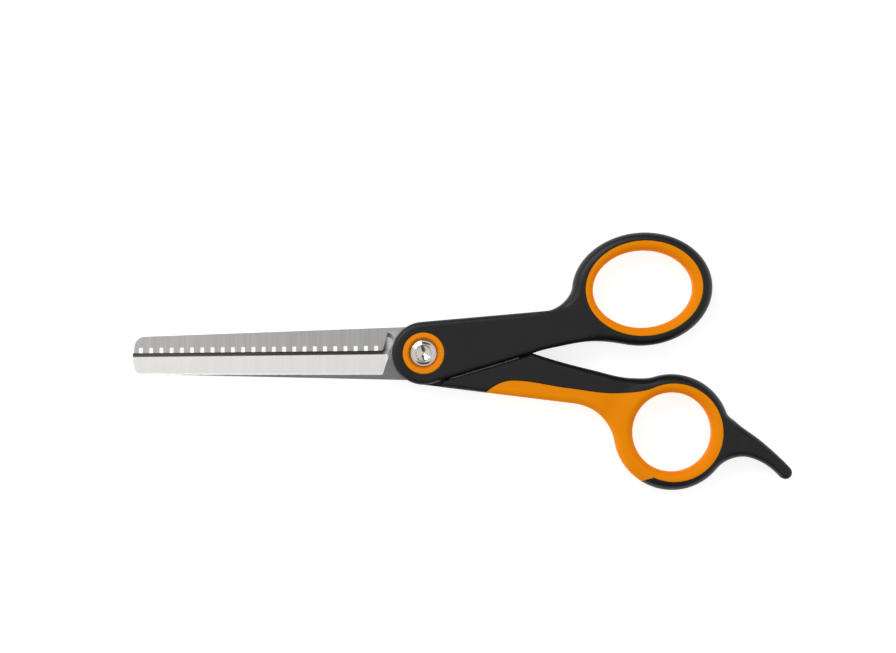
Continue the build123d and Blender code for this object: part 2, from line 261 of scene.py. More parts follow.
@dataclass(frozen=True)
class BladeSteel:
    """Stainless strip, blanked, ground across on its faces and left as rolled where no wheel reached.

    Attributes:
        name: the material's name.
        tip: sRGB colour of the ground faces at the tip, one end of a painted reflection gradient along the
            blade.
        heel: sRGB colour of the ground faces at the heel, the other end of that painted reflection gradient.
        raw: sRGB colour of the surface as rolled.
        raw_mm: height of the surface as rolled.
        raw_side: 1 if that is the top of the blade and -1 if it is underneath.
        streak: how dark the grinding streaks are, from 0 to 1.
        streak_mm: width of one streak.
        roughness: of the ground faces.
        bevel_shade: the painted shade on its honed bevel, if it has one.
        plunge_highlight: sRGB colour of the painted highlight where the ground faces end.
        scale_mm: width of one fleck of the rolled surface.
        painted_sheen: how many times brighter the rolled surface is painted at its +Y edge, a painted
            reflection.
    """

    name: str
    tip: str
    heel: str
    raw: str
    raw_mm: float
    raw_side: int
    streak: float
    streak_mm: float
    roughness: float
    bevel_shade: HonedBevelShade | None = None
    plunge_highlight: str = "#F4F3F1"
    scale_mm: float = 0.8
    painted_sheen: float = 2.3

    def rolled(
        self, tree: bpy.types.NodeTree, place: bpy.types.NodeSocket, y: bpy.types.NodeSocket
    ) -> bpy.types.Node:
        """Colour of the surface as rolled: fine scale, and a painted reflection that brightens it towards its
        +Y edge.

        Args:
            tree: the material's node tree.
            place: the object coordinates.
            y: their Y.

        Returns:
            The node with the colour.
        """
        scale = add(tree, "TexNoise", {"Vector": place, "Scale": per_mm(self.scale_mm), "Detail": 5.0})
        flecks_and_sheen = add(tree, "MapRange", {0: scale.outputs[0], 1: 0.3, 2: 0.7, 3: 0.88, 4: 1.05})
        # painted reflection: the rolled surface is made brighter towards +Y
        painted_sheen = add(tree, "MapRange", {0: y, 1: -2 * MM, 2: 5 * MM, 3: 1.0, 4: self.painted_sheen})
        flecks_and_sheen = add(tree, "Math", {0: flecks_and_sheen.outputs[0], 1: painted_sheen.outputs[0]}, operation="MULTIPLY")
        return add(tree, "MixRGB", {0: 1.0, 1: linear(self.raw), 2: flecks_and_sheen.outputs[0]}, blend_type="MULTIPLY")

    def build(self) -> bpy.types.Material:
        """Makes the material.

        Returns:
            The material.
        """
        made, tree, shader, place = blank(self.name)
        x, y, z = add(tree, "SeparateXYZ", {0: place}).outputs
        # painted reflection: the ground faces are lighter at one end of the blade than at the other, as the
        # light falls along it
        way = add(tree, "MapRange", {0: x, 1: BLADE_TIP_X * MM, 2: BLADE_HEEL_X * MM})
        tint = add(tree, "MixRGB", {0: way.outputs[0], 1: linear(self.tip), 2: linear(self.heel)})

        # the wheel runs across the blade, so its marks are long in Y and as wide as the grit in X; they are
        # drawn coarser than the real ones, about 0.05 mm wide, so that they show
        drawn = add(tree, "Mapping", {"Vector": place, "Scale": (1.0, 0.02, 0.02)}).outputs[0]
        fine = add(tree, "TexNoise", {"Vector": drawn, "Scale": per_mm(self.streak_mm), "Detail": 3.0})
        broad = add(tree, "TexNoise", {"Vector": drawn, "Scale": per_mm(self.streak_mm * 9), "Detail": 2.0})
        marks = add(tree, "MixRGB", {0: 0.4, 1: fine.outputs[0], 2: broad.outputs[0]})
        shade = add(tree, "MapRange", {0: marks.outputs[0], 1: 0.35, 2: 0.62, 3: 1.0 - self.streak, 4: 1.0})
        tint = add(tree, "MixRGB", {0: 1.0, 1: tint.outputs[0], 2: shade.outputs[0]}, blend_type="MULTIPLY")

        # the wheel stops short of the rolled surface along a slightly uneven line; just below it a painted
        # highlight stands in for the light caught by the plunge's rounded step
        ragged = add(tree, "TexNoise", {"Vector": place, "Scale": per_mm(1.2), "Detail": 4.0})
        level = add(tree, "Math", {0: z, 1: float(self.raw_side), 2: 0.0}, operation="MULTIPLY_ADD")
        level = add(
            tree, "Math", {0: ragged.outputs[0], 1: 0.05 * MM, 2: level.outputs[0]}, operation="MULTIPLY_ADD")
        rim = self.raw_side * self.raw_mm * MM
        plunge_highlight = add(tree, "MapRange", {0: level.outputs[0], 1: rim - 0.10 * MM, 2: rim - 0.03 * MM})
        tint = add(tree, "MixRGB", {0: plunge_highlight.outputs[0], 1: tint.outputs[0], 2: linear(self.plunge_highlight)})
        raw = add(tree, "MapRange", {0: level.outputs[0], 1: rim - 0.012 * MM, 2: rim - 0.002 * MM})
        rolled = self.rolled(tree, place, y)
        tint = add(tree, "MixRGB", {0: raw.outputs[0], 1: tint.outputs[0], 2: rolled.outputs[0]})
        # painted shade: the honed bevel's dark reflection is painted into the colour
        if self.bevel_shade:
            tint = self.bevel_shade.painted(tree, (x, y, z), tint)

        rough = {3: self.roughness, 4: self.roughness + 0.08}
        gloss = add(tree, "MapRange", {0: raw.outputs[0], **rough})
        bump = add(tree, "Bump", {"Height": fine.outputs[0], "Distance": 0.002 * MM})
        tree.links.new(tint.outputs[0], shader.inputs["Base Color"])
        tree.links.new(gloss.outputs[0], shader.inputs["Roughness"])
        tree.links.new(bump.outputs[0], shader.inputs["Normal"])
        shader.inputs["Metallic"].default_value = 1.0
        return made


# glass-filled nylon from a spark-eroded mould: near black, an even fine grain, soft light edges
HANDLE = Plastic("handle_nylon_black", "#121212", "#0C0C0C", 0.42, 0.32, 50.0, 0.4)
# thermoplastic elastomer moulded onto the nylon: saturated orange, velvety, almost no gloss
GRIP = Plastic("grip_elastomer_orange", "#FF9800", "#FF9000", 0.6, 0.3, 20.0, 0.08)
# acetal turned smooth: the same orange with a soft gloss
COLLAR = Plastic("collar_acetal_orange", "#FF9800", "#FF9000", 0.45, 0.3, 8.0, 0.12)
# the plain blade: bright ground face over a darker rolled back, with painted shade for the dark reflection of
# the honed bevel along its edge
PLAIN_BLADE = BladeSteel(
    "plain_blade_steel", "#CFCDC9", "#E6E4E1", "#8F8F90", 6.2, 1, 0.05, 0.3, 0.3,
    HonedBevelShade((-75.0, -0.05), (-10.5, 0.65), "#2E2C2A", "#504E4A", 0.2, 0.96, 4.43))
# the toothed blade: its flat inner face is surface ground across, so it shows fine crosswise lines
COMB_BLADE = BladeSteel("toothed_blade_steel", "#DEDCDA", "#C9C8C6", "#84868B", 2.4, -1, 0.16, 0.3, 0.34)
# bright nickel over brass: mirror gloss
SCREW = Metal("screw_nickel", "#F2EEE6", "#D8D2C8", 0.07, 0.6)
# zinc-plated steel: duller and bluer
NUT = Metal("nut_zinc", "#BFC0C3", "#A9AAAE", 0.35, 1.5)
# natural nylon: milky white
WASHER = Plastic("washer_nylon", "#E8E6E0", "#DEDBD3", 0.45, 0.3, 10.0)


Finish = Plastic | Metal | BladeSteel

FINISHES: dict[str, Finish] = {
    "straight_blade": PLAIN_BLADE, "thinning_blade": COMB_BLADE, "thumb_handle": HANDLE,
    "finger_handle": HANDLE, "thumb_ring_grip": GRIP, "finger_handle_grip": GRIP, "pivot_collar": COLLAR,
    "pivot_screw": SCREW, "pivot_nut": NUT, "spring_washer": NUT, "friction_washer": WASHER,
}


def dress(frame: dict) -> dict[str, bpy.types.Material]:
    """Gives each CAD node its finish.


    Returns:
        The material of each node.
    """
    built = {finish.name: finish.build() for finish in dict.fromkeys(FINISHES.values())}
    for name, finish in FINISHES.items():
        for spot in frame["nodes"][name].material_slots:
            spot.material = built[finish.name]
    log.info("finishes on %d nodes", len(FINISHES))
    return {name: built[finish.name] for name, finish in FINISHES.items()}


# ---------------------------------------------------------------- plan curves, in mm


def polar(radius: float | np.ndarray, degrees: float | np.ndarray, centre: tuple = (0.0, 0.0)) -> np.ndarray:
    """Point or points at that radius and angle from a centre."""
    angle = np.radians(degrees)
    return np.stack([centre[0] + radius * np.cos(angle), centre[1] + radius * np.sin(angle)], axis=-1)


def arc(centre: tuple, radius: float, start: float, end: float, count: int) -> np.ndarray:
    """Evenly spaced points of an arc from start to end degrees, without its last point."""
    return polar(radius, np.linspace(start, end, count, endpoint=False), centre)


def straight(start: np.ndarray, end: np.ndarray, count: int) -> np.ndarray:
    """Evenly spaced points of a line, without its last point."""
    share = np.linspace(0, 1, count, endpoint=False)[:, None]
    return np.asarray(start) * (1 - share) + np.asarray(end) * share


def curve(points: list, leave: float, arrive: float, count: int) -> np.ndarray:
    """A smooth line through points: cubic Hermite spans, timed by the chords between the points.

    Args:
        points: what the line goes through.
        leave: its heading at the first point, in degrees.
        arrive: its heading at the last point, in degrees.
        count: how many points to return, without the last.

    Returns:
        Points of the line, evenly timed.
    """
    knots = np.array(points, float)
    chords = np.linalg.norm(np.diff(knots, axis=0), axis=1)
    pace = np.diff(knots, axis=0) / chords[:, None]
    slopes = np.empty_like(knots)
    slopes[0], slopes[-1] = polar(1.0, leave), polar(1.0, arrive)
    before, after = chords[:-1, None], chords[1:, None]
    slopes[1:-1] = (pace[:-1] * after + pace[1:] * before) / (before + after)
    times = np.concatenate([[0.0], np.cumsum(chords)])
    now = np.linspace(0, times[-1], count, endpoint=False)
    span = np.clip(np.searchsorted(times, now, side="right") - 1, 0, len(chords) - 1)
    size = chords[span][:, None]
    t = (now - times[span])[:, None] / size
    return (
        (2 * t**3 - 3 * t**2 + 1) * knots[span]
        + (t**3 - 2 * t**2 + t) * size * slopes[span]
        + (3 * t**2 - 2 * t**3) * knots[span + 1]
        + (t**3 - t**2) * size * slopes[span + 1]
    )


@dataclass(frozen=True)
class Oval:
    """An ellipse in the plan.

    Attributes:
        x: X of its centre, in mm.
        y: Y of its centre, in mm.
        a: its half length, in mm.
        b: its half width, in mm.
        tilt: turn of its length from the X axis, in degrees.
    """

    x: float
    y: float
    a: float
    b: float
    tilt: float = 0.0

    def at(self, degrees: np.ndarray) -> np.ndarray:
        """Points at those parameter angles: the half sizes times cosine and sine, turned by the tilt.

        Args:
            degrees: the angles.

        Returns:
            The points.
        """
        t, k = np.radians(degrees), math.radians(self.tilt)
        u, v = self.a * np.cos(t), self.b * np.sin(t)
        return np.stack([
            self.x + u * math.cos(k) - v * math.sin(k),
            self.y + u * math.sin(k) + v * math.cos(k),
        ], axis=-1)

    def heading(self, degrees: float) -> float:
        """Heading in degrees of a counterclockwise walk at that parameter angle."""
        step = self.at(np.array([degrees - 0.01, degrees + 0.01]))
        return math.degrees(math.atan2(*(step[1] - step[0])[::-1]))

    def walk(self, start: float, end: float, count: int) -> np.ndarray:
        """Points from start to end, without the last."""
        return self.at(np.linspace(start, end, count, endpoint=False))

    def beyond(self, points: np.ndarray) -> np.ndarray:
        """About how far points lie outside the oval: its own scaled radius less one, times its mean radius.

        Args:
            points: plan points in mm.

        Returns:
            The distances in mm, negative inside.
        """
        k = math.radians(self.tilt)
        dx, dy = points[..., 0] - self.x, points[..., 1] - self.y
        u = (dx * math.cos(k) + dy * math.sin(k)) / self.a
        v = (dy * math.cos(k) - dx * math.sin(k)) / self.b
        return (np.hypot(u, v) - 1) * (self.a + self.b) / 2


@dataclass
class Stretch:
    """A stretch of a plate's plan: an outer line and the inner line that it faces, point for point.

    Attributes:
        outer: points of the outer line, in mm.
        inner: as many points of the inner line, in mm.
        outer_round: edge radius along the outer line, from its start to its end.
        inner_round: edge radius along the inner line, or how wide a band beside a cut is divided finely.
        slit: the inner line is a cut that closes on itself, so no wall stands on it.
    """

    outer: np.ndarray
    inner: np.ndarray
    outer_round: tuple[float, float]
    inner_round: float | tuple[float, float] = 0.0
    slit: bool = False


@dataclass
class Plate:
    """A moulded plate with rounded rims, the same on both faces.

    Its surface is a grid of two parameters. One runs round the plan through the stretches. The other
    carries the section: up the inner wall, round its rim, across the face, round the outer rim, down the
    outer wall, and back the same way underneath.

    Attributes:
        stretches: the plan, in order, going round once.
        middle: height of the plate's middle plane, in mm.
        half: function that gives half the thickness at plan points.
        loops: outlines of the whole moulding, where this plate is one of two materials in it.
        loop_rounds: edge radius at each point of each of them.
        rim_steps: faces round each rim.
        face_steps: faces across.
    """

    stretches: list[Stretch]
    middle: float
    half: Callable[[np.ndarray], np.ndarray]
    loops: list[np.ndarray] = field(default_factory=list)
    loop_rounds: list[np.ndarray] = field(default_factory=list)
    rim_steps: int = 6
    face_steps: int = 10

    def joined(self, name: str) -> np.ndarray:
        """One attribute of all the stretches as one array. A pair of values eases from one to the other.

        Args:
            name: the attribute's name.

        Returns:
            Its value at each station.
        """
        parts = []
        for stretch in self.stretches:
            value, count = getattr(stretch, name), len(stretch.outer)
            if isinstance(value, tuple):
                t = np.linspace(0, 1, count, endpoint=False)
                value = value[0] + (value[1] - value[0]) * (3 * t**2 - 2 * t**3)
            elif not isinstance(value, np.ndarray):
                value = np.full(count, value)
            parts.append(value)
        return np.concatenate(parts)

    def fall(self, points: np.ndarray) -> np.ndarray:
        """How far the whole moulding's rounded rim has dropped at plan points.

        The drop is a quarter circle of the distance to the outlines, taken to their nearest straight span.

        Args:
            points: plan points in mm.

        Returns:
            The drops in mm.
        """
        if not self.loops:
            return np.zeros(points.shape[:-1])
        flat, batch = points.reshape(-1, 2), 2000
        start, round_by = np.concatenate(self.loops), np.concatenate(self.loop_rounds)
        way = np.concatenate([np.roll(loop, -1, axis=0) - loop for loop in self.loops])
        size = (way**2).sum(1)
        drop = np.empty(len(flat))
        for low in range(0, len(flat), batch):
            gap = flat[low : low + batch, None] - start
            share = np.clip((gap * way).sum(2) / size, 0, 1)
            far = np.linalg.norm(gap - share[..., None] * way, axis=2)
            near = far.argmin(1)
            radius = round_by[near]
            inset = np.clip(1 - far[np.arange(len(near)), near] / radius, 0, 1)
            drop[low : low + batch] = radius * (1 - np.sqrt(1 - inset**2))
        return drop.reshape(points.shape[:-1])

    def grid(self) -> np.ndarray:
        """The surface: each station's section lies on the line from its inner to its outer point.

        Both rims are quarter circles, with the inner one along that line and the outer one square to the
        outline, and the height is half the thickness less the deeper of the rim's and the moulding's drop.

        Returns:
            Stations by section points by coordinates, in mm.
        """
        outer, inner = self.joined("outer"), self.joined("inner")
        big, small = self.joined("outer_round"), self.joined("inner_round")
        along = np.roll(outer, -1, axis=0) - np.roll(outer, 1, axis=0)
        along /= np.linalg.norm(along, axis=1)[:, None]
        inward = np.stack([-along[:, 1], along[:, 0]], axis=1)
        across = outer - inner
        width = np.linalg.norm(across, axis=1)
        out = across / np.maximum(width, 1e-6)[:, None]
        room = np.maximum((-across * inward).sum(1), 0.02)
        small = np.minimum(small, np.maximum(0.45 * width, 0.92 * width - big))
        big = np.minimum(big, 0.92 * (room - small))

        turn = np.linspace(0, math.pi / 2, self.rim_steps + 1)
        near = inner[:, None] + out[:, None] * (small[:, None] * (1 - np.cos(turn)))[..., None]
        far = outer[:, None] + inward[:, None] * (big[:, None] * (1 - np.cos(turn[::-1])))[..., None]
        share = np.linspace(0, 1, self.face_steps + 1)[1:-1, None]
        face = near[:, -1:] * (1 - share) + far[:, :1] * share
        plan = np.concatenate([near, face, far], axis=1)
        wall = np.where(self.joined("slit").astype(bool), 0, small)
        drop = np.concatenate([
            wall[:, None] * (1 - np.sin(turn)),
            np.zeros(face.shape[:2]),
            big[:, None] * (1 - np.sin(turn[::-1])),
        ], axis=1)
        rise = self.half(plan) - np.maximum(drop, self.fall(plan))
        top = np.concatenate([plan, (self.middle + rise)[..., None]], axis=2)
        under = np.concatenate([plan, (self.middle - rise)[..., None]], axis=2)
        return np.concatenate([top, under[:, ::-1]], axis=1)

    def build(self, name: str, finish: bpy.types.Material) -> bpy.types.Object:
        """Makes the plate as an object.

        Args:
            name: the object's name.
            finish: its material.

        Returns:
            The object, in the row frame.
        """
        grid = self.grid()
        stations, ring = grid.shape[:2]
        i, j = np.meshgrid(np.arange(stations), np.arange(ring), indexing="ij")
        after, beside = (i + 1) % stations, (j + 1) % ring
        quads = np.stack([i * ring + j, after * ring + j, after * ring + beside, i * ring + beside], axis=2)
        slit = self.joined("slit").astype(bool)
        inside = (j == ring - 1) & (slit & np.roll(slit, -1))[:, None]
        ends = (j == ring - 1) & slit[:, None]
        return solid(name, grid.reshape(-1, 3), quads[~(inside | ends)], finish)


def solid(name: str, points: np.ndarray, quads: np.ndarray, finish: bpy.types.Material) -> bpy.types.Object:
    """Makes a closed smooth mesh object from points in mm and faces, and welds doubled points.

    Args:
        name: the object's name.
        points: an array of points in mm.
        quads: an array of faces of four points.
        finish: its material.

    Returns:
        The object, in the row frame.
    """
    mesh = bpy.data.meshes.new(name)
    mesh.from_pydata(points * MM, [], quads.reshape(-1, quads.shape[-1]).tolist())
    weld = bmesh.new()
    weld.from_mesh(mesh)
    bmesh.ops.remove_doubles(weld, verts=weld.verts, dist=2e-6)
    bmesh.ops.dissolve_degenerate(weld, edges=weld.edges, dist=1e-7)
    bmesh.ops.recalc_face_normals(weld, faces=weld.faces)
    weld.to_mesh(mesh)
    weld.free()
    mesh.shade_smooth()
    mesh.materials.append(finish)
    made = bpy.data.objects.new(name, mesh)
    bpy.context.collection.objects.link(made)
    return made


def turned(
    name: str, height: np.ndarray, radius: np.ndarray, degrees: np.ndarray, finish: bpy.types.Material,
    closed: bool = False, crisp: float = 38.0,
) -> bpy.types.Object:
    """Carries a profile of radius and height round the Z axis.

    Args:
        name: the object's name.
        height: height of each profile point, in mm.
        radius: radius at each profile point and angle, in mm.
        degrees: the angles.
        finish: its material.
        closed: the profile ends where it starts.
        crisp: edges that turn by more degrees than this stay sharp.

    Returns:
        The object, in the row frame.
    """
    count, steps = radius.shape
    level = height[:, None] + np.zeros(steps)
    grid = np.concatenate([polar(radius, degrees), level[..., None]], axis=2)
    spans = count if closed else count - 1
    i, j = np.meshgrid(np.arange(spans), np.arange(steps), indexing="ij")
    below, after = (i + 1) % count, (j + 1) % steps
    quads = np.stack([i * steps + j, below * steps + j, below * steps + after, i * steps + after], axis=2)
    piece = solid(name, grid.reshape(-1, 3), quads.reshape(-1, 4), finish)
    piece.data.set_sharp_from_angle(angle=math.radians(crisp))
    return piece


def pared(piece: bpy.types.Object, layers: list[tuple[float, np.ndarray]]) -> None:
    """Cuts a block out of a piece and leaves the cut's faces flat and its edges crisp.

    Args:
        piece: the object that is cut.
        layers: the block's height and plan in mm at each level, from the bottom up.
    """
    count = len(layers[0][1])
    points = np.concatenate([np.column_stack([plan, np.full(count, z)]) for z, plan in layers]) * MM
    sides = [
        (k * count + i, k * count + (i + 1) % count, (k + 1) * count + (i + 1) % count, (k + 1) * count + i)
        for k in range(len(layers) - 1) for i in range(count)
    ]
    last = (len(layers) - 1) * count
    mesh = bpy.data.meshes.new("cutter")
    mesh.from_pydata(points, [], [tuple(range(count))[::-1], tuple(range(last, last + count)), *sides])
    turn = bmesh.new()
    turn.from_mesh(mesh)
    bmesh.ops.recalc_face_normals(turn, faces=turn.faces)
    turn.to_mesh(mesh)
    turn.free()
    cutter = bpy.data.objects.new("cutter", mesh)
    bpy.context.collection.objects.link(cutter)
    cut = piece.modifiers.new("cut", "BOOLEAN")
    cut.operation, cut.solver, cut.object = "DIFFERENCE", "EXACT", cutter
    graph = bpy.context.evaluated_depsgraph_get()
    pared_mesh = bpy.data.meshes.new_from_object(piece.evaluated_get(graph))
    piece.modifiers.clear()
    piece.data = pared_mesh
    bpy.data.objects.remove(cutter)
    pared_mesh.set_sharp_from_angle(angle=math.radians(35))


# ---------------------------------------------------------------- handles


class Side(Enum):
    """Which handle a piece is on, as the sign of Y that its ring has."""

    THUMB = 1
    FINGER = -1


@dataclass
class Handles:
    """What the two handles share.

    Attributes:
        middle: height of their middle plane, in mm.
        hub: radius of the round end about the pivot.
        slope: of each lapped edge, in degrees.
        crotch: X where the lapped edges part.
        shank_rim: edge radius on the shanks.
        ring_rim: edge radius round the rings.
        seam: edge radius where the two materials meet.
        dip: depth of the dish between each shank and its ring.
        shoulder: distance of the closing shoulder from the pivot, which the lap ends at.
        relief_angle: slope of the shoulder that clears the other handle when open, in degrees.
        relief: distance of that shoulder from the pivot.
        lap: distance of the lap's face from the middle plane.
        chamfer: width of the shoulders' chamfered edge.
    """

    middle: float = 4.3
    hub: float = 8.1
    slope: float = 16.8
    crotch: float = 28.6
    shank_rim: float = 1.3
    ring_rim: float = 2.3
    seam: float = 0.18
    dip: float = 0.5
    shoulder: float = 8.4
    relief_angle: float = 66.4
    relief: float = 7.66
    lap: float = 0.13
    chamfer: float = 0.35

    def on_line(self, radius: float, slope: float, side: int, x: float) -> np.ndarray:
        """A point on a line that touches a circle about the pivot.

        Args:
            radius: the circle's radius in mm.
            slope: the line's slope in degrees.
            side: 1 if the line is above the circle and -1 if it is below.
            x: the point's X in mm.

        Returns:
            The point.
        """
        foot = polar(radius, slope + 90 * side)
        return np.array([x, foot[1] + (x - foot[0]) * math.tan(math.radians(slope))])

    def dished(self, ring: Oval, points: np.ndarray) -> np.ndarray:
        """Half the thickness: flat, less a bell-shaped dip just outside the ring's rim."""
        return self.middle - self.dip * np.exp(-(((ring.beyond(points) - 1.6) / 2.4) ** 2))

    def lap_plan(self, side: int, grow: float) -> np.ndarray:
        """The lap's plan: everything past two straight shoulders, each at its own distance from the pivot.

        Args:
            side: sign of Y of the handle.
            grow: how far the shoulders are moved out, in mm.

        Returns:
            The plan's corners. The corner of the two shoulders solves both lines at once.
        """
        line, start = math.radians(self.slope), math.radians(self.relief_angle)
        rows = np.array([[math.sin(line), math.cos(line)], [math.sin(start), math.cos(start)]])
        x, y = np.linalg.solve(rows, [self.shoulder + grow, self.relief + grow])
        far = 200.0
        plan = np.array([
            (x, y), (x + far * math.cos(line), y - far * math.sin(line)), (far, -far), (-far, -far),
            (-far, far), (x - far * math.cos(start), y + far * math.sin(start)),
        ])
        return plan * (1, side)

    def lapped(self, piece: bpy.types.Object, side: Side) -> None:
        """Cuts the lap that the other half crosses in, with a chamfer along its outer edge.

        Args:
            piece: the handle.
            side: which handle it is. The thumb handle keeps its upper half and the finger handle its lower.
        """
        edge, past, clear = self.chamfer, 0.2, 10.0
        plan, wide = self.lap_plan(side.value, 0.0), self.lap_plan(side.value, edge + past)
        low, high, top = self.middle - self.lap, self.middle + self.lap, 2 * self.middle
        if side is Side.THUMB:
            layers = [(-clear, wide), (-past, wide), (edge, plan), (high, plan)]
        else:
            layers = [(low, plan), (top - edge, plan), (top + past, wide), (top + clear, wide)]
        pared(piece, layers)


@dataclass
class ThumbHandle(Handles):
    """Thumb handle with its soft ring lining.

    Attributes:
        ring: outside of the ring.
        seat: where the lining meets the ring.
        hole: inside of the lining.
        top_slope: slope of the shank's outer edge, in degrees.
        neck: X where that edge bends up to the ring.
        collar: radius of the hole for the pivot's collar.
        cuff: edge radius round the thumb hole.
    """

    ring: Oval = Oval(56.3, 16.5, 18.05, 14.55, 4.5)
    seat: Oval = Oval(56.7, 16.7, 15.1, 12.25, 4.0)
    hole: Oval = Oval(56.4, 16.5, 12.9, 9.95, 3.0)
    top_slope: float = 5.0
    neck: float = 31.6
    collar: float = 5.35
    cuff: float = 2.1

    def stretches(self) -> list[Stretch]:
        """The handle's plan: hub, lapped edge, ring and back along its outer edge.

        Returns:
            The stretches in order. The two slits are one cut from the collar's hole to the ring's.
        """
        shank, ring, seam = self.shank_rim, self.ring_rim, self.seam
        hub = Oval(0, 0, self.hub, self.hub)
        eye = Oval(0, 0, self.collar, self.collar)
        low, high, aim, gate = 270 + self.slope, 90 + self.top_slope, 376.0, 200.0
        bend = self.on_line(self.hub, self.slope, -1, 7.0)
        crotch = self.on_line(self.hub, self.slope, -1, self.crotch)
        neck = self.on_line(self.hub, self.top_slope, 1, self.neck)
        back = self.on_line(self.hub, self.top_slope, 1, 7.0)
        slit = straight(eye.at(aim), self.seat.at(gate), 41)
        below = [crotch, (35.1, 1.8), (43.4, 3.05), self.ring.at(252)]
        under = curve(below, self.slope + 4, self.ring.heading(252), 50)
        over = curve(
            [self.ring.at(172), (35.7, 12.75), neck], self.ring.heading(172), 180 + self.top_slope, 50)
        return [
            Stretch(hub.walk(high, low, 90), eye.walk(high, low, 90), (shank, shank), seam),
            Stretch(straight(hub.at(low), bend, 24), eye.walk(low, aim, 24), (shank, shank), seam),
            Stretch(straight(bend, crotch, 40), slit[:-1], (shank, shank), (seam, seam), True),
            Stretch(under, self.seat.walk(gate, 252, 50), (shank, ring), seam),
            Stretch(self.ring.walk(252, 532, 200), self.seat.walk(252, 532, 200), (ring, ring), seam),
            Stretch(over, self.seat.walk(532, gate + 360, 50), (ring, shank), seam),
            Stretch(straight(neck, back, 40), slit[:0:-1], (shank, shank), (seam, seam), True),
            Stretch(straight(back, hub.at(high), 24), eye.walk(aim - 360, high, 24), (shank, shank), seam),
        ]

    def build(self, handle: bpy.types.Material, grip: bpy.types.Material) -> None:
        """Makes the handle and its ring lining.

        Args:
            handle: the handle's material.
            grip: the lining's material.
        """
        holes = [Oval(0, 0, self.collar, self.collar).walk(0, 360, 120), self.seat.walk(0, 360, 240)]
        plate = Plate(
            self.stretches(), self.middle, lambda points: self.dished(self.ring, points),
            holes, [np.full(len(hole), self.seam) for hole in holes])
        piece = plate.build("thumb_handle_moulding", handle)
        self.lapped(piece, Side.THUMB)
        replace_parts(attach(piece, "thumb_half"), "thumb_handle")
        lining = Stretch(
            self.seat.walk(0, 360, 256), self.hole.walk(0, 360, 256), (self.seam, self.seam), self.cuff)
        plate = Plate([lining], self.middle, lambda points: self.dished(self.ring, points))
        piece = plate.build("thumb_ring_lining", grip)
        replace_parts(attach(piece, "thumb_half"), "thumb_ring_grip")
        log.info("thumb handle and lining")


